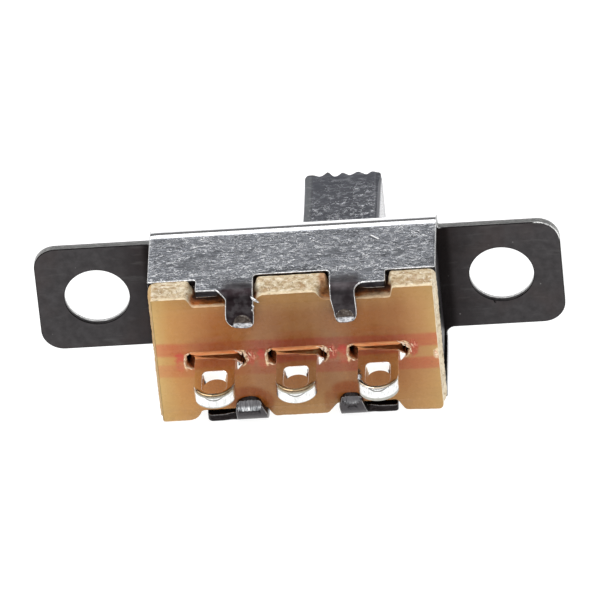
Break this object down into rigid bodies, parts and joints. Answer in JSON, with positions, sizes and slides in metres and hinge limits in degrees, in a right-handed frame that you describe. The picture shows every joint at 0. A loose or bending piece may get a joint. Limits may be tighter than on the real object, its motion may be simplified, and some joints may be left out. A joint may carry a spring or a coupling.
{
  "type": "slide switch",
  "caption": "Miniature panel slide switch: folded steel frame with two mounting ears, ridged sliding handle and solder lugs through a fibrous terminal board.",
  "frame": {"origin": "midway between the two mounting holes, in the outer face of the mounting plate", "axes": "+X along the travel of the handle and through both mounting holes, +Y out of the panel face on the handle side, +Z across the body; the part lies on its lower long side wall"},
  "size_m": [0.0196, 0.0123, 0.006],
  "materials": {
    "nickel_steel": "nickel-plated sheet, satin with a fine orange peel, burnished along its cut edges",
    "dark_plastic": "moulded dark grey, fine eroded texture, polished ends",
    "spring_bronze": "bright rolled spring strip",
    "phenolic_paper": "amber resin-bonded paper, glossy face, pale fibrous punched edges, two faint red stripes",
    "plated_lug": "silver-plated strip, mirror bright"
  },
  "bodies": {
    "housing": {"frame": "nickel_steel", "terminal_board": "phenolic_paper", "terminal_left": "plated_lug", "terminal_common": "plated_lug", "terminal_right": "plated_lug"},
    "slide": {"slider": "dark_plastic", "contact_clip": "spring_bronze"}
  },
  "joints": [
    {"name": "handle_travel", "type": "slide", "parent": "housing", "child": "slide", "axis": [1, 0, 0], "range_m": [-0.0032, 0]}
  ]
}
